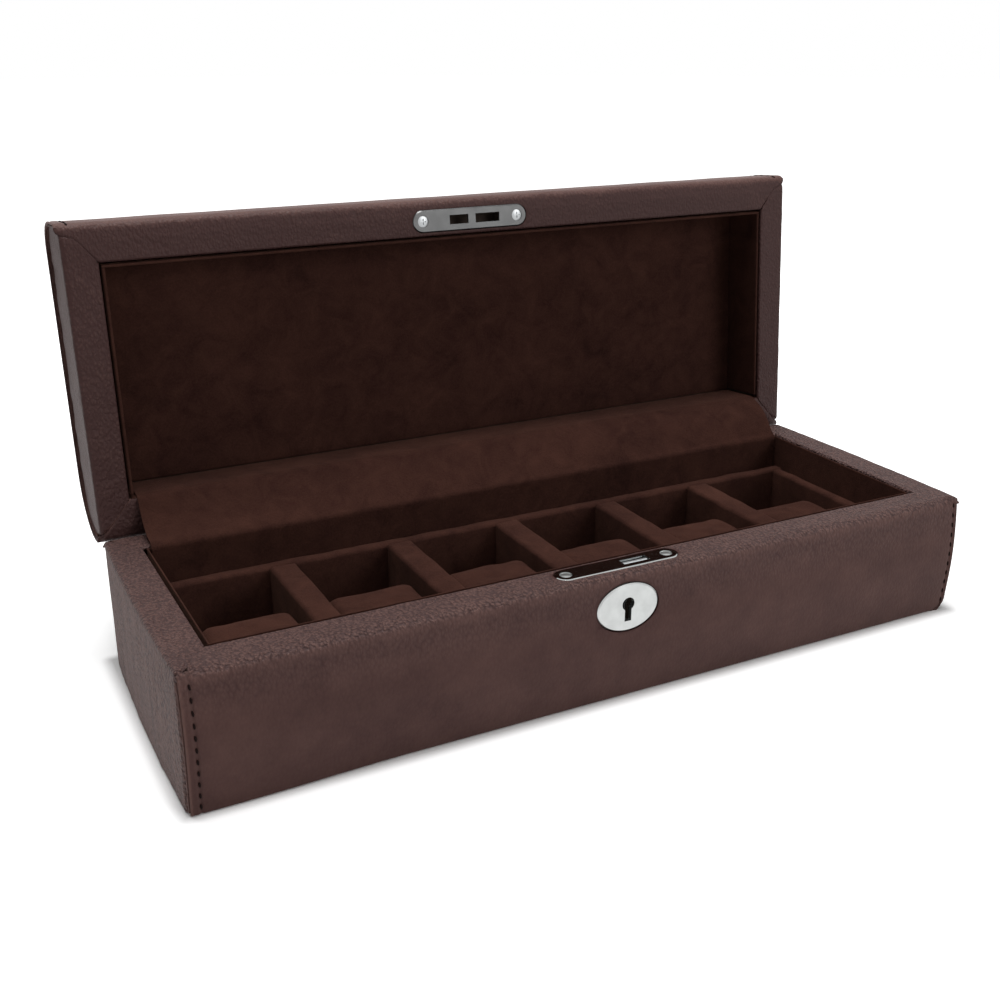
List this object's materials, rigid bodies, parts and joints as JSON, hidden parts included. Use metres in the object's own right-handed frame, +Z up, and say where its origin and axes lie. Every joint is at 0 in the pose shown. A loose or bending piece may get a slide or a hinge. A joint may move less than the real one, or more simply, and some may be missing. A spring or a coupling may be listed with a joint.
{
  "type": "watch box",
  "caption": "Long leather-covered box with a hinged, locking lid, for keeping watches side by side on small cushions in suede-lined slots.",
  "frame": {"origin": "centre of the flat face that the box rests on, under the base", "axes": "+X runs along the box to its right end seen from the front, the front with the keyhole faces -Y, +Z is up"},
  "size_m": [0.335, 0.158, 0.1714],
  "materials": {
    "leather": "fine grain, soft satin",
    "suede": "short nap, matte",
    "board": "raw fibreboard",
    "nickel": "polished nickel plate, satin on the broad faces",
    "steel": "plain"
  },
  "bodies": {
    "base": {"base_floor_board": "board", "base_front_board": "board", "base_rear_board": "board", "base_end_boards": "board", "base_wrap": "leather", "base_left_cover": "leather", "base_right_cover": "leather", "base_front_lining": "suede", "base_rear_lining": "suede", "base_end_linings": "suede", "tray_floor": "suede", "tray_front_rail": "suede", "tray_rear_rail": "suede", "tray_end_rails": "suede", "tray_divider_1": "suede", "tray_divider_2": "suede", "tray_divider_3": "suede", "tray_divider_4": "suede", "tray_divider_5": "suede", "lock_case": "steel", "lock_plate": "nickel", "lock_screws": "nickel", "key_plate": "nickel", "hinge_base_leaves": "nickel", "hinge_pins": "steel", "hinge_base_screws": "steel", "hinge_flap": "suede"},
    "lid": {"lid_top_board": "board", "lid_front_board": "board", "lid_rear_board": "board", "lid_end_boards": "board", "lid_wrap": "leather", "lid_left_cover": "leather", "lid_right_cover": "leather", "lid_front_lining": "suede", "lid_rear_lining": "suede", "lid_end_linings": "suede", "lid_panel": "suede", "strike_plate": "nickel", "strike_screws": "nickel", "hinge_lid_leaves": "nickel", "hinge_lid_screws": "steel"},
    "lock_bolt": {"lock_bolt": "steel"},
    "cushion_1": {"cushion_1": "suede"},
    "cushion_2": {"cushion_2": "suede"},
    "cushion_3": {"cushion_3": "suede"},
    "cushion_4": {"cushion_4": "suede"},
    "cushion_5": {"cushion_5": "suede"},
    "cushion_6": {"cushion_6": "suede"}
  },
  "joints": [
    {"name": "lid_hinge", "type": "hinge", "parent": "base", "child": "lid", "pos_m": [0, 0.0602, 0.05275], "axis": [-1, 0, 0], "range_deg": [-95, 0], "deforming": ["hinge_flap"]},
    {"name": "bolt_rise", "type": "slide", "parent": "base", "child": "lock_bolt", "axis": [0, 0, 1], "range_m": [0, 0.0055]},
    {"name": "cushion_1_lift", "type": "slide", "parent": "base", "child": "cushion_1", "axis": [0, 0, 1], "range_m": [0, 0.06]},
    {"name": "cushion_2_lift", "type": "slide", "parent": "base", "child": "cushion_2", "axis": [0, 0, 1], "range_m": [0, 0.06]},
    {"name": "cushion_3_lift", "type": "slide", "parent": "base", "child": "cushion_3", "axis": [0, 0, 1], "range_m": [0, 0.06]},
    {"name": "cushion_4_lift", "type": "slide", "parent": "base", "child": "cushion_4", "axis": [0, 0, 1], "range_m": [0, 0.06]},
    {"name": "cushion_5_lift", "type": "slide", "parent": "base", "child": "cushion_5", "axis": [0, 0, 1], "range_m": [0, 0.06]},
    {"name": "cushion_6_lift", "type": "slide", "parent": "base", "child": "cushion_6", "axis": [0, 0, 1], "range_m": [0, 0.06]}
  ]
}
